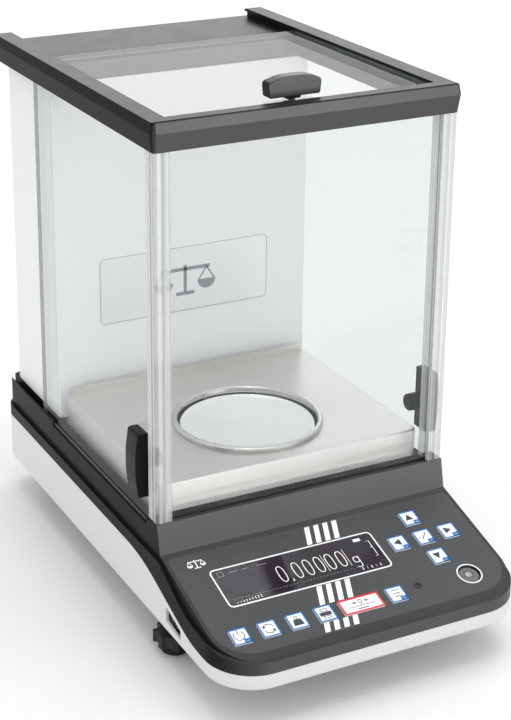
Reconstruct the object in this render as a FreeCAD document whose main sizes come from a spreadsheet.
import FreeCAD, Part

import math
import os
import re

import Sketcher
from FreeCAD import Placement, Rotation, Vector

# Analytical balance with a glass draft shield. Millimetres, +X right, +Y back, +Z up.
# The origin is on the table, below the middle of the housing.

DIMENSIONS = [
    # housing
    ("base_width", 212, "white housing, side to side"),
    ("base_depth", 367, "white housing, front to back"),
    ("foot_gap", 25, "table to housing floor"),
    ("corner_front", 31, "plan radius of the front corners"),
    ("corner_rear", 16, "plan radius of the rear corners"),
    ("wall", 2.5, "housing wall"),
    ("seam_rear", 59.7, "height of the seam between the housings at the back"),
    ("seam_front", 35.8, "height of the same seam at the front"),
    ("seam_bend_high", -62, "depth place where the seam turns down"),
    ("seam_bend_low", -134, "depth place where the seam levels out"),
    ("ledge", 68, "height of the narrow ledge beside the chamber"),
    ("rim_front", 43.7, "height of the dark rim at the front"),
    ("rim_bend_high", -86, "depth place where the rim turns down"),
    ("rim_bend_low", -125, "depth place where the rim flattens"),
    ("rim_bend_height", 50.5, "height of the rim there"),
    # sloping control panel; its frame starts on the front rim
    ("panel_origin", -181.2, "depth place of the panel frame"),
    ("panel_angle", 16.2, "slope of the panel in degrees"),
    ("panel_skin", 3, "housing thickness under the panel"),
    ("foil_half", 101.5, "panel foil, half width"),
    ("foil_low", 7, "foil, lower edge up the slope"),
    ("foil_high", 93.2, "foil, upper edge up the slope"),
    ("foil_corner", 24, "foil, lower corner radius"),
    ("foil_thick", 0.5, "foil thickness"),
    ("window_left", -80.5, "display window, left edge"),
    ("window_right", 32.5, "display window, right edge"),
    ("panel_middle", 60.4, "slope place of window and arrow keys"),
    ("window_tall", 30.4, "display window, height"),
    ("window_thick", 1.6, "display window thickness"),
    ("key_row", 22.1, "slope place of the key row"),
    ("key_first", -86, "first key of the row, across"),
    ("key_pitch", 19.2, "step of the key row"),
    ("key_wide", 12, "square key, width"),
    ("key_tall", 12.4, "all keys, height"),
    ("tare_wide", 28.4, "tare key, width"),
    ("tare_place", -3.2, "tare key, across"),
    ("menu_place", 22, "menu key, across"),
    ("cluster_place", 65.3, "middle of the arrow keys, across"),
    ("cluster_step_x", 18.7, "arrow key step, across"),
    ("cluster_step_y", 17.9, "arrow key step, up the slope"),
    ("key_proud", 0.5, "key top above the foil"),
    ("key_deep", 5.4, "key foot below the foil"),
    ("key_gap", 0.35, "gap round a key"),
    ("vial_place", 76.3, "bubble level, across"),
    ("vial_slope", 22.9, "bubble level, up the slope"),
    ("vial_radius", 7, "bubble level radius"),
    ("sensor_place", 38.8, "motion sensor, across"),
    ("sensor_slope", 24.4, "motion sensor, up the slope"),
    ("sensor_radius", 1.8, "motion sensor radius"),
    # platform under the weighing chamber
    ("platform_half", 103.9, "platform, half width"),
    ("platform_front", -83, "platform, front edge at the top"),
    ("platform_toe", -87.2, "platform, front edge at the panel"),
    ("platform_top", 90, "platform lip under the front glass"),
    ("deck", 87, "chamber deck"),
    ("lip_back", -70.6, "back of the platform lip"),
    ("track_front", -67.4, "door track, front"),
    ("track_back", 89.8, "door track, back"),
    ("cavity_half", 94.5, "hollow under the deck, half width"),
    ("deck_thick", 3.5, "deck thickness"),
    # draft shield
    ("roof_half", 105.9, "roof frame, half width at its widest"),
    ("roof_front", -84.4, "roof frame, front"),
    ("roof_back", 183.5, "roof frame, back"),
    ("roof_rear_face", 181.6, "roof frame, flat rear face"),
    ("roof_bottom", 326.8, "roof frame, underside"),
    ("roof_crease", 338.5, "roof frame, widest height"),
    ("roof_top", 345, "roof frame, top"),
    ("roof_taper_low", 8.3, "inward lean below the crease, degrees"),
    ("roof_taper_high", 12, "inward lean above the crease, degrees"),
    ("seam_step", 2.2, "seam across the front bar, behind the widest front edge"),
    ("seam_wide", 1.2, "seam across the front bar, width"),
    ("seam_deep", 1.2, "seam across the front bar, depth"),
    ("opening_half", 89.5, "roof opening, half width"),
    ("opening_front", -64, "roof opening, front"),
    ("opening_back", 95, "roof opening, back"),
    ("roof_deck", 339, "level that the top door slides on"),
    ("lip_half", 92, "gap between the roof rails, half width"),
    ("slot_half", 94.8, "top door slot, half width"),
    ("slot_top", 342.8, "top door slot, upper face"),
    ("glass", 3, "pane thickness"),
    ("top_pane_half", 94, "top door pane, half width"),
    ("top_pane_front", -71.5, "top door pane, front"),
    ("top_pane_back", 107, "top door pane, back"),
    ("side_pane_place", 98.7, "side pane, inner face"),
    ("side_pane_front", -70.4, "side pane, front"),
    ("side_pane_back", 113, "side pane, back"),
    ("groove_inner", 98, "side groove, inner wall"),
    ("groove_outer", 102.4, "side groove, outer wall"),
    ("groove_floor", 81, "side groove, floor"),
    ("groove_roof", 330.8, "side groove in the roof, upper face"),
    ("post_inner", 93.1, "corner post, inner face"),
    ("post_front", -82.8, "corner post, front face"),
    ("post_back", -70.9, "corner post, back face"),
    ("front_pane_half", 95.5, "front pane, half width"),
    ("front_pane_place", -79.6, "front pane, front face"),
    ("column_half", 97.4, "rear column, half width"),
    ("column_front", 95, "rear column, front"),
    ("column_back", 175, "rear column, back"),
    ("rear_wall_front", 92.5, "chamber rear wall, front"),
    ("plate_half", 65.4, "nameplate, half width"),
    ("plate_low", 151.5, "nameplate, lower edge"),
    ("plate_high", 200, "nameplate, upper edge"),
    ("knob_radius", 5.8, "inner door knob radius"),
    ("stud_radius", 2, "stud through a pane"),
    ("door_handle_y", -59.5, "side door handle, middle"),
    ("door_handle_z", 123.5, "side door handle, middle"),
    ("handle_tall", 43, "side door grip, height"),
    ("handle_wide", 15.5, "side door grip, front to back"),
    ("handle_out", 9, "side door grip, how far it stands out"),
    ("top_handle_y", -57, "top door handle, middle"),
    ("top_handle_half", 18.5, "top door grip, half width"),
    ("top_handle_tall", 14.5, "top door grip, top above the pane"),
    ("top_handle_gap", 1.8, "top door grip, gap above the pane"),
    ("top_handle_deep", 9, "top door grip, front to back"),
    ("grip_shoulder", 3.2, "how far the ends of the top grip drop below its middle"),
    # ports
    ("port_face", 183.2, "outer face of the rear ports, depth place"),
    ("inlet_x", -72, "power inlet, across"),
    ("inlet_z", 40, "power inlet, height"),
    ("inlet_half", 6, "power inlet, half width of its body"),
    ("inlet_socket", 3.6, "power inlet, socket radius"),
    ("inlet_pin", 1.1, "power inlet, pin radius"),
    ("serial_x", -36.5, "serial port, across"),
    ("serial_z", 40.5, "serial port, height"),
    ("serial_half", 15.5, "serial port, half width of its body"),
    ("serial_tall", 6.5, "serial port, half height of its body"),
    ("lock_step", 12.5, "serial port lock holes, from the middle"),
    ("lock_radius", 1.6, "serial port lock hole radius"),
    ("port_gap", 0.3, "gap round a port in the housing"),
    # boards
    ("board_low", 30, "main board, underside"),
    ("board_thick", 1.6, "board thickness"),
    ("keypad_half", 95, "keypad board, half width"),
    ("keypad_low", 14, "keypad board, lower edge up the slope"),
    ("keypad_high", 88, "keypad board, upper edge up the slope"),
    # weighing parts
    ("pan_place", -4, "pan centre, depth place"),
    ("pan_radius", 45.5, "weighing pan radius"),
    ("pan_top", 103.5, "weighing surface"),
    ("ring_radius", 51, "draft ring, outer radius"),
    ("ring_top", 109.6, "draft ring, top"),
    ("tray_hole", 48.6, "hole in the floor tray"),
    ("tray_half", 95, "floor tray, half width"),
    ("tray_front", -67, "floor tray, front"),
    ("tray_back", 86, "floor tray, back"),
    ("tray_top", 106.5, "floor tray, top"),
    ("tray_lip", 111.5, "floor tray, rear lip"),
    ("sheet", 1, "steel sheet thickness"),
    # weighing cell and base
    ("plate_top", 33, "base plate, top"),
    ("cell_half", 26, "cell block, half width"),
    ("cell_front", 10, "cell block, front"),
    ("cell_back", 128, "cell block, back"),
    ("cell_top", 75, "cell block, top"),
    ("channel_half", 9, "channel in the cell block, half width"),
    ("channel_floor", 44, "channel floor"),
    ("lever_low", 60, "lever, underside"),
    ("lever_high", 66, "lever, top"),
    ("coil_place", 147, "coil centre, depth place"),
    ("pivot_place", 60, "lever pivot, depth place"),
    ("weight_y", -35, "calibration weight, depth place"),
    ("weight_low", 48, "calibration weight, lowest point when lifted"),
    ("weight_radius", 10, "calibration weight radius"),
    ("motor_x", -50, "lifter motor, across"),
    # feet
    ("foot_x", 92, "levelling foot, across"),
    ("foot_y", -83, "levelling foot, depth place"),
    ("foot_knob_radius", 14, "star knob radius"),
    ("foot_knob_low", 6, "star knob, underside"),
    ("foot_knob_high", 14, "star knob, top"),
    ("foot_stud", 3.9, "threaded stud radius"),
    ("stud_top", 44, "threaded stud, upper end"),
    ("pad_radius", 9, "foot pad radius"),
    ("pad_high", 5, "foot pad height"),
    ("rear_foot_x", 62, "rear foot, across"),
    ("rear_foot_y", 148, "rear foot, depth place"),
]

# name, place across, place up the slope, width
KEYS = [
    ("power_key", "key_first", "key_row", "key_wide"),
    ("range_key", "key_first + key_pitch", "key_row", "key_wide"),
    ("calibrate_key", "key_first + 2 * key_pitch", "key_row", "key_wide"),
    ("print_key", "key_first + 3 * key_pitch", "key_row", "key_wide"),
    ("tare_key", "tare_place", "key_row", "tare_wide"),
    ("menu_key", "menu_place", "key_row", "key_wide"),
    ("ok_key", "cluster_place", "panel_middle", "key_wide"),
    ("up_key", "cluster_place", "panel_middle + cluster_step_y", "key_wide"),
    ("down_key", "cluster_place", "panel_middle - cluster_step_y", "key_wide"),
    ("left_key", "cluster_place - cluster_step_x", "panel_middle", "key_wide"),
    ("right_key", "cluster_place + cluster_step_x", "panel_middle", "key_wide"),
]

SCREW_PLACES = [(x, y) for x in (-80, 80) for y in (-92, 40, 160)]

doc = FreeCAD.newDocument("analytical_balance")
sub_parts = []


# ---------------------------------------------------------------- helpers

def make_sheet():
    sheet = doc.addObject("Spreadsheet::Sheet", "dims")
    for row, (alias, number, meaning) in enumerate(DIMENSIONS, 1):
        sheet.set(f"A{row}", alias)
        sheet.set(f"B{row}", str(number))
        sheet.setAlias(f"B{row}", alias)
        sheet.set(f"C{row}", meaning)
    doc.recompute()


def formula(text):
    """Writes a formula of dimension names as an expression that reads the sheet."""
    known = {alias for alias, number, meaning in DIMENSIONS}

    def from_sheet(word):
        return "dims." + word.group() if word.group() in known else word.group()

    return re.sub(r"[a-z_]+", from_sheet, str(text))


def bind(thing, **formulas):
    for name, text in formulas.items():
        thing.setExpression(name.replace("__", "."), formula(text))


def keep(thing, label):
    """Names a finished sub-part and puts it on the list that is written out."""
    thing.Label = label
    sub_parts.append(thing)
    return thing


def make_body(label):
    body = doc.addObject("PartDesign::Body", label)
    body.Label = label
    return body


def origin_plane(body, role):
    return next(plane for plane in body.Origin.OriginFeatures if plane.Role == role)


def make_sketch(body, role="XY_Plane", offset="0"):
    """A sketch on one of the body's own origin planes. XY: x, y. XZ: x, z. YZ: y, z."""
    sketch = body.newObject("Sketcher::SketchObject", "sketch")
    sketch.AttachmentSupport = [(origin_plane(body, role), "")]
    sketch.MapMode = "FlatFace"
    bind(sketch, AttachmentOffset__Base__z=offset)
    return sketch


def fix_point(sketch, geometry, end, x, y):
    for kind, text in (("DistanceX", x), ("DistanceY", y)):
        number = sketch.addConstraint(Sketcher.Constraint(kind, -1, 1, geometry, end, 10.0))
        sketch.setExpression(f"Constraints[{number}]", formula(text))


def draw_polygon(sketch, corners):
    """Draws a closed outline through corners given as formulas."""
    count = len(corners)
    first = sketch.GeometryCount
    spread = [Vector(50 * math.cos(2 * math.pi * i / count), 50 * math.sin(2 * math.pi * i / count), 0)
              for i in range(count)]
    for i in range(count):
        sketch.addGeometry(Part.LineSegment(spread[i], spread[(i + 1) % count]))
    for i in range(count):
        sketch.addConstraint(Sketcher.Constraint("Coincident", first + i, 2, first + (i + 1) % count, 1))
    for i, (x, y) in enumerate(corners):
        fix_point(sketch, first + i, 1, x, y)


def draw_rectangle(sketch, left, right, low, high):
    draw_polygon(sketch, [(left, low), (right, low), (right, high), (left, high)])


def draw_circle(sketch, x, y, radius):
    number = sketch.addGeometry(Part.Circle(Vector(0, 0, 0), Vector(0, 0, 1), 5))
    fix_point(sketch, number, 3, x, y)
    size = sketch.addConstraint(Sketcher.Constraint("Radius", number, 5.0))
    sketch.setExpression(f"Constraints[{size}]", formula(radius))


def extrude(kind, body, sketch, length, reverse=False, middle=False, taper=None):
    feature = body.newObject("PartDesign::" + kind, kind.lower())
    feature.Profile = sketch
    feature.Reversed = reverse
    feature.Midplane = middle
    bind(feature, Length=length)
    if taper is not None:
        bind(feature, TaperAngle=taper)
    return feature


def pad(body, sketch, length, reverse=False, middle=False, taper=None):
    feature = extrude("Pad", body, sketch, length, reverse, middle, taper)
    doc.recompute()
    return feature


def pocket(body, sketch, length, reverse=False, middle=False):
    before = body.Shape.Volume
    feature = extrude("Pocket", body, sketch, length, reverse, middle)
    doc.recompute()
    if body.Shape.Volume > before - 0.01:
        raise RuntimeError(body.Label + ": a pocket cuts nothing")
    return feature


def edges_along(shape, axis, test):
    """The names of the straight edges along an axis whose middle passes a test."""
    names = []
    for number, edge in enumerate(shape.Edges, 1):
        straight = isinstance(edge.Curve, Part.Line)
        along = straight and abs(edge.tangentAt(edge.FirstParameter).dot(axis)) > 0.999
        if along and test(edge.CenterOfMass):
            names.append(f"Edge{number}")
    return names


ALONG_X = Vector(1, 0, 0)
ALONG_Y = Vector(0, 1, 0)
ALONG_Z = Vector(0, 0, 1)


def soften(body, axis, test, radius):
    """Rounds the edges along an axis whose middle passes a test."""
    base = body.Tip
    feature = body.newObject("PartDesign::Fillet", "fillet")
    feature.Base = (base, edges_along(base.Shape, axis, test))
    bind(feature, Radius=radius)
    doc.recompute()


def soften_face(body, face_test, radius):
    """Rounds every edge of the faces whose middle passes a test."""
    base = body.Tip
    wanted = []
    for face in base.Shape.Faces:
        if not face_test(face):
            continue
        for edge in face.Edges:
            wanted += [n for n, other in enumerate(base.Shape.Edges, 1) if other.isSame(edge)]
    feature = body.newObject("PartDesign::Fillet", "fillet")
    feature.Base = (base, [f"Edge{n}" for n in sorted(set(wanted))])
    bind(feature, Radius=radius)
    doc.recompute()


def anywhere(point):
    return True


def facing(axis):
    """A face test: flat and facing along an axis."""
    return lambda face: isinstance(face.Surface, Part.Plane) and face.normalAt(0, 0).dot(axis) > 0.999


def block(label, left, right, front, back, low, high):
    """A rectangular body between six planes."""
    body = make_body(label)
    sketch = make_sketch(body, "XY_Plane", low)
    draw_rectangle(sketch, left, right, front, back)
    pad(body, sketch, f"({high}) - ({low})")
    return body


def cut_block(body, left, right, front, back, low, high):
    sketch = make_sketch(body, "XY_Plane", low)
    draw_rectangle(sketch, left, right, front, back)
    pocket(body, sketch, f"({high}) - ({low})", reverse=True)


def rod(label, x, y, low, high, radius):
    """An upright round body."""
    body = make_body(label)
    add_rod(body, x, y, low, high, radius)
    return body


def add_rod(body, x, y, low, high, radius):
    sketch = make_sketch(body, "XY_Plane", low)
    draw_circle(sketch, x, y, radius)
    pad(body, sketch, f"({high}) - ({low})")


def cut_rod(body, x, y, low, high, radius):
    sketch = make_sketch(body, "XY_Plane", low)
    draw_circle(sketch, x, y, radius)
    pocket(body, sketch, f"({high}) - ({low})", reverse=True)


def add_block(body, left, right, front, back, low, high):
    sketch = make_sketch(body, "XY_Plane", low)
    draw_rectangle(sketch, left, right, front, back)
    return pad(body, sketch, f"({high}) - ({low})")


def repeat(body, kind, feature, way, axis_role, count, **formulas):
    """Repeats a feature along or about one of the body's own axes."""
    axis = next(line for line in body.Origin.OriginFeatures if line.Role == axis_role)
    pattern = body.newObject(kind, "pattern")
    pattern.Originals = [feature]
    setattr(pattern, way, (axis, [""]))
    pattern.Occurrences = count
    bind(pattern, **formulas)
    body.Tip = pattern
    doc.recompute()
    return pattern


def cut(label, base, tools):
    result = doc.addObject("Part::Cut", label)
    result.Base = base
    result.Tool = join(label + "_tools", tools) if len(tools) > 1 else tools[0]
    doc.recompute()
    return result


def join(label, things):
    result = doc.addObject("Part::MultiFuse", label)
    result.Shapes = things
    result.Refine = True
    doc.recompute()
    return result


def group(label, things):
    result = doc.addObject("Part::Compound", label)
    result.Links = things
    doc.recompute()
    return result


def lay_on_panel(thing):
    """Puts a piece drawn in the panel frame (x across, y up the slope) on the sloping panel."""
    thing.Placement = Placement(Vector(0, 0, 0), Rotation(ALONG_X, 10))
    bind(thing, Placement__Base__y="panel_origin", Placement__Base__z="rim_front",
         Placement__Rotation__Angle="panel_angle")


# ---------------------------------------------------------------- housing

def outline_block(label, inset, low, high):
    """The plan outline of the housing, moved in by an inset, as an upright block."""
    body = block(label, f"-base_width / 2 + {inset}", f"base_width / 2 - {inset}",
                 f"-base_depth / 2 + {inset}", f"base_depth / 2 - {inset}", low, high)
    soften(body, ALONG_Z, lambda p: p.y < 0, f"corner_front - {inset}")
    soften(body, ALONG_Z, lambda p: p.y > 0, f"corner_rear - {inset}")
    return body


def seam_outline():
    """The side view of the seam, from front to back."""
    return [("-base_depth", "seam_front"), ("seam_bend_low", "seam_front"), ("seam_bend_high", "seam_rear"),
            ("base_depth", "seam_rear")]


def make_lower_housing():
    body = outline_block("lower_blank", "0", "foot_gap", "seam_rear + 5")
    above = make_sketch(body, "YZ_Plane")
    draw_polygon(above, seam_outline() + [("base_depth", "deck"), ("-base_depth", "deck")])
    pocket(body, above, "2 * base_width", middle=True)
    soften(body, ALONG_X, lambda p: -70 < p.y < -50 and p.z > 50, "130")
    soften(body, ALONG_X, lambda p: -145 < p.y < -120 and p.z > 30, "80")
    soften_face(body, facing(-ALONG_Z), "3")
    inside = outline_block("lower_inside", "wall", "foot_gap + wall", "deck")
    holes = [inside]
    for side in (-1, 1):
        holes.append(rod("stud_hole", f"{side} * foot_x", "foot_y", "foot_gap - 1", "plate_top",
                         "foot_stud + 1.2"))
    for x, y in SCREW_PLACES:
        holes.append(rod("screw_hole", x, y, "foot_gap - 1", "plate_top", "2.1"))
    holes.append(block("inlet_opening", "inlet_x - inlet_half - port_gap",
                       "inlet_x + inlet_half + port_gap",
                       "port_face - 13", "port_face + 7", "inlet_z - inlet_half - port_gap",
                       "inlet_z + inlet_half + port_gap"))
    holes.append(block("serial_opening", "serial_x - serial_half - port_gap",
                       "serial_x + serial_half + port_gap", "port_face - 13", "port_face + 7",
                       "serial_z - serial_tall - port_gap", "serial_z + serial_tall + port_gap"))
    port = make_body("side_port_opening")
    sketch = make_sketch(port, "YZ_Plane", "-base_width / 2 - 5")
    draw_polygon(sketch, [("-120", "29.6"), ("-99.5", "32.5"), ("-99.5", "42.8"), ("-120", "36.8")])
    pad(port, sketch, "12")
    soften(port, ALONG_X, anywhere, "1.5")
    holes.append(port)
    keep(cut("lower_housing_cut", body, holes), "lower_housing")


def panel_height(place, drop="0"):
    return f"rim_front + ({place} - panel_origin) * tan(panel_angle) - {drop}"


def make_rim_band():
    """The dark rim that stands on the white housing all round."""
    body = outline_block("rim_band", "0", "seam_front - 5", "ledge + 5")
    above = make_sketch(body, "YZ_Plane")
    fall = "(rim_bend_height - rim_front) / (rim_bend_low + base_depth / 2)"
    draw_polygon(above, [("-base_depth", f"rim_front - base_depth / 2 * {fall}"),
                         ("rim_bend_low", "rim_bend_height"), ("rim_bend_high", "ledge"),
                         ("base_depth", "ledge"),
                         ("base_depth", "2 * deck"), ("-base_depth", "2 * deck")])
    pocket(body, above, "2 * base_width", middle=True)
    soften(body, ALONG_X, lambda p: -90 < p.y < -80 and p.z > 60, "25")
    soften(body, ALONG_X, lambda p: -135 < p.y < -115 and p.z > 45, "60")
    below = make_sketch(body, "YZ_Plane")
    draw_polygon(below, seam_outline() + [("base_depth", "0"), ("-base_depth", "0")])
    pocket(body, below, "2 * base_width", middle=True)
    soften(body, ALONG_X, lambda p: -70 < p.y < -50 and p.z < 60, "130")
    soften(body, ALONG_X, lambda p: -145 < p.y < -120 and p.z < 40, "80")
    return body


def make_platform():
    """The sloping panel bed and the platform under the chamber, before they are hollowed."""
    body = make_body("platform")
    side = make_sketch(body, "YZ_Plane")
    front = "-base_depth / 2 + 2"
    draw_polygon(side, [(front, "seam_front + 2"), (front, panel_height(f"({front})")),
                        ("platform_toe", panel_height("platform_toe")), ("platform_front", "platform_top"),
                        ("lip_back", "platform_top"), ("lip_back", "deck"),
                        ("base_depth / 2 - 0.5", "deck"),
                        ("base_depth / 2 - 0.5", "seam_rear + 1"), ("seam_bend_high", "seam_rear + 1")])
    pad(body, side, "2 * platform_half", middle=True)
    soften(body, ALONG_Z, lambda p: p.y < -150, "corner_front - 2")
    soften(body, ALONG_Z, lambda p: p.y > 150, "corner_rear - 2")
    return body


def panel_openings(gap):
    """Window, key, level and sensor openings in the panel frame, as upright columns."""
    sketch = doc.addObject("Sketcher::SketchObject", "panel_openings")
    draw_rectangle(sketch, f"window_left - {gap}", f"window_right + {gap}",
                   f"panel_middle - window_tall / 2 - {gap}", f"panel_middle + window_tall / 2 + {gap}")
    for name, x, y, wide in KEYS:
        draw_rectangle(sketch, f"{x} - {wide} / 2 - key_gap", f"{x} + {wide} / 2 + key_gap",
                       f"{y} - key_tall / 2 - key_gap", f"{y} + key_tall / 2 + key_gap")
    draw_circle(sketch, "vial_place", "vial_slope", f"vial_radius + {gap}")
    draw_circle(sketch, "sensor_place", "sensor_slope", f"sensor_radius + {gap}")
    columns = doc.addObject("Part::Extrusion", "panel_columns")
    columns.Base = sketch
    columns.Dir = ALONG_Z
    columns.LengthFwd = 3
    columns.LengthRev = 12
    columns.Solid = True
    return sketch, columns


def foil_blank(label, low, high):
    body = block(label, "-foil_half", "foil_half", "foil_low", "foil_high", low, high)
    soften(body, ALONG_Z, lambda p: p.y < 50, "foil_corner")
    soften(body, ALONG_Z, lambda p: p.y > 50, "4")
    return body


def make_upper_housing():
    solid = join("upper_solid", [make_rim_band(), make_platform()])
    under_panel = make_body("under_panel")
    side = make_sketch(under_panel, "YZ_Plane")
    front = "-base_depth / 2 + 5"
    back = "platform_front + wall + 1"
    draw_polygon(side, [(front, "foot_gap"), (front, panel_height(f"({front})", "panel_skin * 1.15")),
                        (back, panel_height(f"({back})", "panel_skin * 1.15")), (back, "foot_gap")])
    pad(under_panel, side, "2 * (platform_half - panel_skin)", middle=True)
    soften(under_panel, ALONG_Z, lambda p: p.y < -150, "corner_front - 5")
    under_deck = block("under_deck", "-cavity_half", "cavity_half", "platform_front + wall",
                       "base_depth / 2 - 3",
                       "foot_gap", "deck - deck_thick")
    recess = foil_blank("foil_recess", "-foil_thick", "3")
    sketch, columns = panel_openings("0.2")
    for thing in (recess, sketch):
        lay_on_panel(thing)
    doc.recompute()
    columns.Dir = sketch.Placement.Rotation.multVec(ALONG_Z)
    tools = [under_panel, under_deck, recess, columns,
             rod("shaft_hole", "0", "pan_place", "deck - 10", "deck + 10", "9"),
             block("front_pane_channel", "-front_pane_half - 0.4", "front_pane_half + 0.4",
                   "front_pane_place - 0.3", "front_pane_place + glass + 0.3", "deck", "platform_top + 1")]
    for side in (-1, 1):
        tools.append(block("door_groove", *sorted_pair(side, "groove_inner", "groove_outer"),
                           "lip_back", "base_depth", "groove_floor", "platform_top + 5"))
        tools.append(block("track_seat", *sorted_pair(side, "groove_outer - 0.1", "base_width / 2"),
                           "track_front - 0.2", "track_back + 0.2", "groove_floor + 1", "platform_top + 5"))
    keep(cut("upper_housing_cut", solid, tools), "upper_housing")


def sorted_pair(side, near, far):
    """Left and right limits of a thing beside the chamber, on the side -1 or 1."""
    return (f"{near}", f"{far}") if side > 0 else (f"-({far})", f"-({near})")


def make_tracks():
    """The ribbed strip on each side wall that the door edge runs against."""
    strips = []
    for side in (-1, 1):
        limits = sorted_pair(side, "groove_outer", "platform_half")
        strip = block("track", *limits, "track_front", "track_back", "groove_floor + 1",
                      "groove_floor + 2.2")
        rib = add_block(strip, *limits, "track_front + 0.5", "track_front + 1.4", "groove_floor + 2.2",
                        "groove_floor + 3")
        repeat(strip, "PartDesign::LinearPattern", rib, "Direction", "Y_Axis", 85,
               Length="track_back - track_front - 1.9")
        strips.append(strip)
    keep(group("door_track_pair", strips), "door_tracks")


# ---------------------------------------------------------------- panel pieces

def make_foil():
    blank = foil_blank("foil_blank", "-foil_thick", "0")
    sketch, columns = panel_openings("0.1")
    foil = cut("foil_cut", blank, [columns])
    lay_on_panel(foil)
    keep(foil, "panel_foil")


def make_keys():
    for name, x, y, wide in KEYS:
        key = block(name, f"{x} - {wide} / 2", f"{x} + {wide} / 2", f"{y} - key_tall / 2",
                    f"{y} + key_tall / 2",
                    "-key_deep", "key_proud")
        soften(key, ALONG_Z, anywhere, "1")
        soften_face(key, facing(ALONG_Z), "0.3")
        lay_on_panel(key)
        keep(key, name)


def make_display():
    window = block("display_window", "window_left", "window_right", "panel_middle - window_tall / 2",
                   "panel_middle + window_tall / 2", "-window_thick", "0")
    module = block("display_module", "window_left + 1", "window_right - 1",
                   "panel_middle - window_tall / 2 + 1",
                   "panel_middle + window_tall / 2 - 1", "-window_thick - 6", "-window_thick")
    for piece in (window, module):
        lay_on_panel(piece)
        keep(piece, piece.Label)


def make_level_vial():
    """A round spirit level: a cup with a domed clear top."""
    vial = rod("level_vial", "vial_place", "vial_slope", "-key_deep", "-1", "vial_radius")
    soften_face(vial, facing(ALONG_Z), "1")
    lay_on_panel(vial)
    keep(vial, "level_vial")


def make_motion_sensor():
    lens = rod("motion_sensor", "sensor_place", "sensor_slope", "-key_deep", "-0.4", "sensor_radius")
    lay_on_panel(lens)
    keep(lens, "motion_sensor")


def make_keypad_board():
    board = block("keypad_board", "-keypad_half", "keypad_half", "keypad_low", "keypad_high",
                  "-key_deep - 0.6 - board_thick", "-key_deep - 0.6")
    cut_block(board, "window_left - 1", "window_right + 1", "panel_middle - window_tall / 2 - 1",
              "panel_middle + window_tall / 2 + 1", "-key_deep - 3", "0")
    cut_rod(board, "vial_place", "vial_slope", "-key_deep - 3", "0", "vial_radius + 0.5")
    lay_on_panel(board)
    keep(board, "keypad_board")


# ---------------------------------------------------------------- draft shield

def make_roof_frame():
    body = make_body("roof_frame")
    outline = [("-roof_half", "roof_back"), ("-roof_half", "roof_front + 3"),
               ("-roof_half + 1", "roof_front + 1"),
               ("-roof_half + 3", "roof_front"), ("roof_half - 3", "roof_front"),
               ("roof_half - 1", "roof_front + 1"),
               ("roof_half", "roof_front + 3"), ("roof_half", "roof_back")]
    low = make_sketch(body, "XY_Plane", "roof_crease")
    draw_polygon(low, outline)
    pad(body, low, "roof_crease - roof_bottom", reverse=True, taper="-roof_taper_low")
    high = make_sketch(body, "XY_Plane", "roof_crease")
    draw_polygon(high, outline)
    pad(body, high, "roof_top - roof_crease", taper="-roof_taper_high")
    cut_block(body, "-base_width", "base_width", "roof_rear_face", "roof_back + 5", "roof_bottom - 1",
              "roof_top + 1")
    cut_block(body, "-opening_half", "opening_half", "opening_front", "opening_back", "roof_bottom - 1",
              "roof_top + 1")
    cut_block(body, "-lip_half", "lip_half", "top_pane_front - 0.5", "roof_back + 5", "roof_deck",
              "roof_top + 1")
    cut_block(body, "-slot_half", "slot_half", "top_pane_front - 0.5", "roof_back + 5", "roof_deck",
              "slot_top")
    cut_block(body, "-front_pane_half - 0.4", "front_pane_half + 0.4", "front_pane_place - 0.3",
              "front_pane_place + glass + 0.3", "roof_bottom - 1", "roof_bottom + 2.4")
    for side in (-1, 1):
        cut_block(body, *sorted_pair(side, "groove_inner", "groove_outer"), "lip_back", "roof_back + 5",
                  "roof_bottom - 1", "groove_roof")
    soften(body, ALONG_X, lambda p: p.y > 175 and p.z > 344.5, "4")
    cut_block(body, "-roof_half", "roof_half", "roof_front + seam_step",
              "roof_front + seam_step + seam_wide",
              "roof_top - seam_deep", "roof_top + 1")
    keep(body, "roof_frame")


def make_corner_post(side):
    """A clear corner post with a groove for the front pane."""
    name = "post_left" if side < 0 else "post_right"
    post = block(name, *sorted_pair(side, "post_inner", "platform_half"), "post_front", "post_back",
                 "platform_top", "roof_bottom")
    soften(post, ALONG_Z, lambda p: abs(p.x) > 100 and p.y < -80, "2")
    cut_block(post, *sorted_pair(side, "post_inner - 1", "front_pane_half + 0.4"), "front_pane_place - 0.3",
              "front_pane_place + glass + 0.3", "platform_top - 1", "roof_bottom + 1")
    keep(post, name)


def make_front_glass():
    pane = block("front_glass", "-front_pane_half", "front_pane_half", "front_pane_place",
                 "front_pane_place + glass", "deck + 0.3", "roof_bottom + 2")
    keep(pane, "front_glass")


def make_rear_column():
    column = block("rear_column", "-column_half", "column_half", "column_front", "column_back", "deck",
                   "roof_bottom")
    soften(column, ALONG_Z, lambda p: p.y > 150, "4")
    cut_block(column, "-column_half + wall", "column_half - wall", "column_front + wall",
              "column_back - wall",
              "deck - 1", "roof_bottom - wall")
    keep(column, "rear_column")


def make_rear_wall():
    wall = block("rear_wall", "-column_half + 0.8", "column_half - 0.8", "rear_wall_front",
                 "column_front", "deck",
                 "roof_bottom")
    keep(wall, "rear_wall")
    plate = block("nameplate", "-plate_half", "plate_half", "rear_wall_front - 0.7", "rear_wall_front",
                  "plate_low", "plate_high")
    soften(plate, ALONG_Y, anywhere, "4")
    keep(plate, "nameplate")


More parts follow.
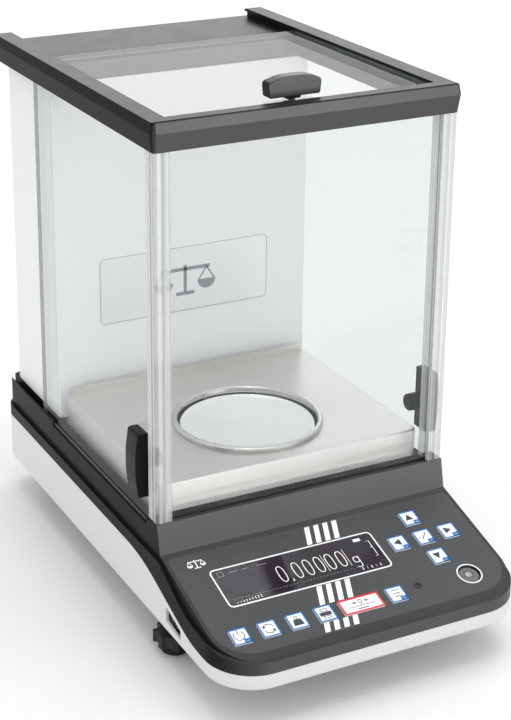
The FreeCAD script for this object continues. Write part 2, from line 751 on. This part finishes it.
def make_side_door(side):
    name = "left" if side < 0 else "right"
    near, far = "side_pane_place", "side_pane_place + glass"
    pane = block(f"{name}_door_glass", *sorted_pair(side, near, far), "side_pane_front", "side_pane_back",
                 "groove_floor + 0.5", "groove_roof - 0.6")
    hole = make_sketch(pane, "YZ_Plane")
    draw_circle(hole, "door_handle_y", "door_handle_z", "stud_radius + 0.1")
    pocket(pane, hole, "3 * base_width", middle=True)
    keep(pane, f"{name}_door_glass")

    grip = make_body(f"{name}_door_grip")
    face = make_sketch(grip, "XZ_Plane", "-(door_handle_y - handle_wide / 2)")
    half = "handle_tall / 2"
    outline = [(far, f"door_handle_z - {half}"), (f"{far} + 0.8 * handle_out", f"door_handle_z - {half}"),
               (f"{far} + handle_out", f"door_handle_z - {half} + 14"),
               (f"{far} + handle_out", f"door_handle_z + {half} - 14"),
               (f"{far} + 0.8 * handle_out", f"door_handle_z + {half}"), (far, f"door_handle_z + {half}")]
    draw_polygon(face, [(x if side > 0 else f"-({x})", z) for x, z in outline])
    pad(grip, face, "handle_wide", reverse=True)
    soften(grip, ALONG_Y, lambda p: abs(p.x) > 110.6, "30")
    soften(grip, ALONG_Y, lambda p: 105 < abs(p.x) < 110.5, "2")
    keep(grip, f"{name}_door_grip")

    knob = make_body(f"{name}_door_knob")
    round_face = make_sketch(knob, "YZ_Plane", f"{side} * side_pane_place")
    draw_circle(round_face, "door_handle_y", "door_handle_z", "knob_radius")
    pad(knob, round_face, "8", reverse=side > 0)
    soften_face(knob, facing(ALONG_X * -side), "1.2")
    stud = make_sketch(knob, "YZ_Plane", f"{side} * side_pane_place")
    draw_circle(stud, "door_handle_y", "door_handle_z", "stud_radius")
    pad(knob, stud, "glass", reverse=side < 0)
    keep(knob, f"{name}_door_knob")


def make_top_door():
    low, high = "roof_deck + 0.3", "roof_deck + 0.3 + glass"
    pane = block("top_door_glass", "-top_pane_half", "top_pane_half", "top_pane_front",
                 "top_pane_back", low, high)
    cut_rod(pane, "0", "top_handle_y", "roof_deck - 1", "roof_top", "stud_radius + 0.1")
    keep(pane, "top_door_glass")

    grip = make_body("top_door_grip")
    face = make_sketch(grip, "XZ_Plane", "-(top_handle_y - top_handle_deep / 2)")
    foot, top = f"{high} + top_handle_gap", f"{high} + top_handle_tall"
    draw_polygon(face, [("-top_handle_half + 1", foot), ("top_handle_half - 1", foot),
                        ("top_handle_half", f"{top} - grip_shoulder"), ("0.45 * top_handle_half", top),
                        ("-0.45 * top_handle_half", top), ("-top_handle_half", f"{top} - grip_shoulder")])
    pad(grip, face, "top_handle_deep", reverse=True)
    soften(grip, ALONG_Y, lambda p: p.z > 356, "25")
    soften(grip, ALONG_Y, lambda p: 352 < p.z < 355, "2.5")
    soften(grip, ALONG_Y, lambda p: p.z < 345, "1.5")
    add_block(grip, "-5", "5", "top_handle_y - 3", "top_handle_y + 3", high, foot)
    keep(grip, "top_door_grip")

    knob = rod("top_door_knob", "0", "top_handle_y", f"{low} - 7.5", low, "knob_radius")
    soften_face(knob, facing(-ALONG_Z), "1.2")
    add_rod(knob, "0", "top_handle_y", low, high, "stud_radius")
    keep(knob, "top_door_knob")


# ---------------------------------------------------------------- weighing parts

def make_floor_tray():
    tray = block("floor_tray", "-tray_half", "tray_half", "tray_front", "tray_back", "deck + 0.2",
                 "tray_top")
    soften(tray, ALONG_Z, anywhere, "5")
    soften_face(tray, facing(ALONG_Z), "1.2")
    cut_block(tray, "-tray_half + sheet", "tray_half - sheet", "tray_front + sheet", "tray_back - sheet",
              "deck - 1", "tray_top - sheet")
    cut_rod(tray, "0", "pan_place", "deck", "tray_top + 1", "tray_hole")
    add_block(tray, "-tray_half + 4", "tray_half - 4", "tray_back - sheet", "tray_back", "tray_top - 8",
              "tray_lip")
    keep(tray, "floor_tray")


def revolve(label, corners):
    """Turns an outline of radius and height about the pan axis."""
    body = make_body(label)
    sketch = make_sketch(body, "XZ_Plane")
    draw_polygon(sketch, corners)
    turn = body.newObject("PartDesign::Revolution", "revolution")
    turn.Profile = sketch
    turn.ReferenceAxis = (sketch, ["V_Axis"])
    turn.Angle = 360
    bind(body, Placement__Base__y="pan_place")
    doc.recompute()
    return body


def make_draft_ring():
    ring = revolve("draft_ring", [("tray_hole - 1.5", "tray_top - 6"), ("tray_hole - 0.5", "tray_top - 6"),
                                  ("tray_hole - 0.5", "tray_top"), ("ring_radius", "tray_top"),
                                  ("ring_radius", "ring_top - 1"), ("ring_radius - 1", "ring_top"),
                                  ("tray_hole - 0.5", "ring_top"), ("tray_hole - 1.5", "ring_top - 1")])
    keep(ring, "draft_ring")


def make_pan():
    pan = revolve("weighing_pan", [("0", "pan_top - 1.5"), ("pan_radius - 5", "pan_top - 1.5"),
                                   ("pan_radius - 1.5", "pan_top - 0.3"), ("pan_radius", "pan_top + 0.4"),
                                   ("pan_radius", "pan_top + 1.4"), ("pan_radius - 0.8", "pan_top + 1.6"),
                                   ("pan_radius - 2.2", "pan_top + 1.1"), ("pan_radius - 5", "pan_top"),
                                   ("0", "pan_top")])
    keep(pan, "weighing_pan")
    support = revolve("pan_support",
                      [("0", "deck + 9"), ("4", "deck + 9"), ("4", "deck + 4"), ("6.5", "deck + 4"),
                                      ("8", "deck + 9"),
                                      ("30", "pan_top - 3.5"), ("30", "pan_top - 1.5"),
                                      ("0", "pan_top - 1.5")])
    keep(support, "pan_support")


def make_weighing_cell():
    cell = block("cell_block", "-cell_half", "cell_half", "cell_front", "cell_back", "plate_top",
                 "cell_top")
    cut_block(cell, "-channel_half", "channel_half", "cell_front - 1", "cell_back + 1", "channel_floor",
              "cell_top + 1")
    for low in ("plate_top + 6", "cell_top - 9"):
        guides = make_sketch(cell, "YZ_Plane")
        draw_rectangle(guides, "cell_front + 12", "cell_back - 12", low, f"{low} + 2.5")
        pocket(cell, guides, "3 * cell_half", middle=True)
    bore = make_sketch(cell, "YZ_Plane")
    draw_circle(bore, "pivot_place", "(lever_low + lever_high) / 2", "1.56")
    pocket(cell, bore, "3 * cell_half", middle=True)
    keep(cell, "cell_block")

    carrier = block("load_carrier", "-24", "24", "-15", "cell_front - 2", "plate_top + 6", "cell_top - 3")
    add_rod(carrier, "0", "pan_place", "cell_top - 3", "deck + 3", "5")
    add_rod(carrier, "0", "pan_place", "deck + 3", "deck + 8.9", "3.6")
    add_block(carrier, "-4", "4", "cell_front - 2", "50", "lever_high + 3", "cell_top - 3")
    add_block(carrier, "-2", "2", "46", "49", "lever_high + 0.3", "lever_high + 3")
    for side in (-1, 1):
        add_block(carrier, *sorted_pair(side, "14", "20"), "weight_y - 13", "-15", "weight_low - 6",
                  "weight_low + 1")
    seat = make_sketch(carrier, "YZ_Plane")
    draw_circle(seat, "weight_y", "weight_low + 7", "weight_radius + 0.4")
    pocket(carrier, seat, "50", middle=True)
    keep(carrier, "load_carrier")

    lever = block("cell_lever", "-5", "5", "45", "coil_place", "lever_low", "lever_high")
    add_rod(lever, "0", "coil_place", "lever_low", "lever_high", "13")
    add_block(lever, "-3", "3", "coil_place + 10", "coil_place + 23", "lever_low + 2", "lever_high - 2")
    pin = make_sketch(lever, "YZ_Plane")
    draw_circle(pin, "pivot_place", "(lever_low + lever_high) / 2", "1.5")
    pad(lever, pin, "44", middle=True)
    keep(lever, "cell_lever")

    coil = rod("voice_coil", "0", "coil_place", "lever_low - 12", "lever_low", "12")
    cut_rod(coil, "0", "coil_place", "lever_low - 13", "lever_low + 1", "9")
    keep(coil, "voice_coil")

    magnet = rod("magnet_housing", "0", "coil_place", "plate_top", "lever_low - 3", "17")
    cut_rod(magnet, "0", "coil_place", "plate_top + 4", "lever_low", "13.6")
    add_rod(magnet, "0", "coil_place", "plate_top + 4", "lever_low - 3", "7.4")
    keep(magnet, "magnet_housing")

    sensor = block("position_sensor", "-8", "8", "coil_place + 19.5", "coil_place + 26",
                   "plate_top", "cell_top")
    cut_block(sensor, "-5", "5", "coil_place + 19", "coil_place + 27", "lever_low - 4", "cell_top + 1")
    keep(sensor, "position_sensor")


def make_calibration():
    """The built-in weight, held lifted in a cradle that a motor spindle raises and lowers."""
    weight = make_body("calibration_weight")
    face = make_sketch(weight, "YZ_Plane")
    draw_circle(face, "weight_y", "weight_low + 10", "weight_radius")
    pad(weight, face, "50", middle=True)
    soften_face(weight, facing(-ALONG_X), "1")
    soften_face(weight, facing(ALONG_X), "1")
    keep(weight, "calibration_weight")

    lifter = block("weight_lifter", "-38", "9", "weight_y - 7", "weight_y + 7", "plate_top + 5",
                   "plate_top + 8")
    for side in (-1, 1):
        add_block(lifter, *sorted_pair(side, "5", "9"), "weight_y - 7", "weight_y + 7", "plate_top + 8",
                  "weight_low + 5")
    seat = make_sketch(lifter, "YZ_Plane")
    draw_circle(seat, "weight_y", "weight_low + 10", "weight_radius + 0.05")
    pocket(lifter, seat, "30", middle=True)
    add_block(lifter, "-38", "-34", "weight_y - 7", "weight_y + 7", "plate_top + 8", "plate_top + 31")
    add_block(lifter, "motor_x - 6", "-38", "weight_y - 7", "weight_y + 7", "plate_top + 27",
              "plate_top + 31")
    cut_rod(lifter, "motor_x", "weight_y", "plate_top + 20", "plate_top + 40", "2.06")
    keep(lifter, "weight_lifter")

    motor = rod("lifter_motor", "motor_x", "weight_y", "plate_top", "plate_top + 23", "9")
    add_rod(motor, "motor_x", "weight_y", "plate_top + 23", "plate_top + 33", "2")
    keep(motor, "lifter_motor")


# ---------------------------------------------------------------- base, boards and ports

def make_base_plate():
    plate = block("base_plate", "-99", "99", "-98", "172", "foot_gap + wall", "plate_top")
    soften(plate, ALONG_Z, anywhere, "8")
    for side in (-1, 1):
        cut_rod(plate, f"{side} * foot_x", "foot_y", "foot_gap", "plate_top + 1", "foot_stud + 0.06")
    for x, y in SCREW_PLACES:
        cut_rod(plate, x, y, "foot_gap", "plate_top + 1", "2")
    keep(plate, "base_plate")


def make_base_screws():
    screws = []
    for x, y in SCREW_PLACES:
        screw = rod("screw", x, y, "foot_gap - 1.8", "foot_gap", "3.5")
        soften_face(screw, facing(-ALONG_Z), "0.8")
        add_rod(screw, x, y, "foot_gap", "plate_top - 1", "1.9")
        screws.append(screw)
    keep(group("screw_set", screws), "base_screws")


# parts on the main board: left, front, width, depth, height
BOARD_PARTS = [(-50, -145, 18, 18, 2), (10, -140, 12, 12, 2), (45, -130, 24, 8, 4), (-20, -118, 30, 6, 3)]


def make_main_board():
    board = block("main_board", "-80", "80", "-160", "-106", "board_low", "board_low + board_thick")
    for left, front, wide, deep, tall in BOARD_PARTS:
        add_block(board, left, left + wide, front, front + deep, "board_low + board_thick",
                  f"board_low + board_thick + {tall}")
    for x in (-70, 66):
        add_rod(board, x, -133, "foot_gap + wall", "board_low", "3")
    keep(board, "main_board")


def make_power_inlet():
    inlet = block("power_inlet", "inlet_x - inlet_half", "inlet_x + inlet_half", "port_face - 14.7",
                  "port_face",
                  "inlet_z - inlet_half", "inlet_z + inlet_half")
    ring = make_sketch(inlet, "XZ_Plane", "-port_face")
    draw_circle(ring, "inlet_x", "inlet_z", "inlet_socket")
    draw_circle(ring, "inlet_x", "inlet_z", "inlet_pin")
    pocket(inlet, ring, "10", reverse=True)
    keep(inlet, "power_inlet")


def make_serial_port():
    """A nine-pole socket shell with a lock hole on each side."""
    port = block("serial_port", "serial_x - serial_half", "serial_x + serial_half", "port_face - 11.7",
                 "port_face", "serial_z - serial_tall", "serial_z + serial_tall")
    face = make_sketch(port, "XZ_Plane", "-port_face")
    draw_polygon(face, [("serial_x - 8.5", "serial_z + 4.5"), ("serial_x + 8.5", "serial_z + 4.5"),
                        ("serial_x + 6.9", "serial_z - 4.5"), ("serial_x - 6.9", "serial_z - 4.5")])
    draw_polygon(face, [("serial_x - 7.1", "serial_z + 3.1"), ("serial_x + 7.1", "serial_z + 3.1"),
                        ("serial_x + 5.9", "serial_z - 3.1"), ("serial_x - 5.9", "serial_z - 3.1")])
    pocket(port, face, "6", reverse=True)
    for x in ("serial_x - lock_step", "serial_x + lock_step"):
        lock = make_sketch(port, "XZ_Plane", "-port_face")
        draw_circle(lock, x, "serial_z", "lock_radius")
        pocket(port, lock, "8", reverse=True)
    keep(port, "serial_port")


def make_side_port():
    port = block("side_port", "-base_width / 2 + 2.6", "-88", "-119", "-100.5", "foot_gap + 3", "39")
    face = make_sketch(port, "YZ_Plane", "-base_width / 2 + 2.6")
    draw_rectangle(face, "-114.5", "-105.5", "30.4", "37.4")
    draw_rectangle(face, "-112.8", "-107.2", "32.4", "35.4")
    pocket(port, face, "9", reverse=True)
    keep(port, "side_port")


def make_levelling_foot(side):
    name = "left" if side < 0 else "right"
    x = f"{side} * foot_x"
    foot = rod(f"levelling_foot_{name}", "0", "0", "foot_knob_low", "foot_knob_high", "foot_knob_radius")
    scallop_sketch = make_sketch(foot, "XY_Plane", "foot_knob_low - 1")
    draw_circle(scallop_sketch, "foot_knob_radius + 1.6", "0", "4.4")
    scallop = pocket(foot, scallop_sketch, "12", reverse=True)
    repeat(foot, "PartDesign::PolarPattern", scallop, "Axis", "Z_Axis", 8, Angle="360")
    soften_face(foot, facing(ALONG_Z), "0.9")
    soften_face(foot, facing(-ALONG_Z), "0.9")
    add_rod(foot, "0", "0", "foot_knob_high", "foot_knob_high + 4", "6")
    add_rod(foot, "0", "0", "foot_knob_high + 4", "stud_top", "foot_stud")
    add_rod(foot, "0", "0", "2.5", "foot_knob_low", "foot_stud")
    bind(foot, Placement__Base__x=x, Placement__Base__y="foot_y")
    keep(foot, f"levelling_foot_{name}")

    rubber = rod(f"foot_pad_{name}", x, "foot_y", "0", "pad_high", "pad_radius")
    cut_rod(rubber, x, "foot_y", "2.4", "pad_high + 1", "foot_stud + 0.4")
    soften_face(rubber, facing(-ALONG_Z), "0.8")
    keep(rubber, f"foot_pad_{name}")


def make_rear_feet():
    feet = []
    for side in (-1, 1):
        foot = rod("rear_foot", f"{side} * rear_foot_x", "rear_foot_y", "0", "foot_gap", "11")
        soften_face(foot, facing(-ALONG_Z), "2")
        feet.append(foot)
    keep(group("rear_foot_pair", feet), "rear_feet")


# ---------------------------------------------------------------- building and writing

def build():
    make_sheet()
    make_lower_housing()
    make_upper_housing()
    make_tracks()
    make_foil()
    make_keys()
    make_display()
    make_level_vial()
    make_motion_sensor()
    make_keypad_board()
    make_roof_frame()
    for side in (-1, 1):
        make_corner_post(side)
        make_side_door(side)
        make_levelling_foot(side)
    make_rear_feet()
    make_front_glass()
    make_rear_column()
    make_rear_wall()
    make_top_door()
    make_floor_tray()
    make_draft_ring()
    make_pan()
    make_weighing_cell()
    make_calibration()
    make_base_plate()
    make_base_screws()
    make_main_board()
    make_power_inlet()
    make_serial_port()
    make_side_port()
    doc.recompute()


def check():
    for thing in doc.Objects:
        if "Invalid" in thing.State or "Error" in thing.State:
            raise RuntimeError(f"{thing.Name} ({thing.Label}) did not build: {thing.State}")
    for part in sub_parts:
        if part.Shape.isNull() or not part.Shape.isValid() or part.Shape.Volume <= 0:
            raise RuntimeError(part.Label + " has no valid shape")


def write():
    os.makedirs("parts", exist_ok=True)
    for part in sub_parts:
        part.Shape.exportStep(os.path.join("parts", part.Label + ".step"))
        print(f"{part.Label}: {len(part.Shape.Solids)} solid, {part.Shape.Volume / 1000:.1f} cm3")


build()
check()
write()
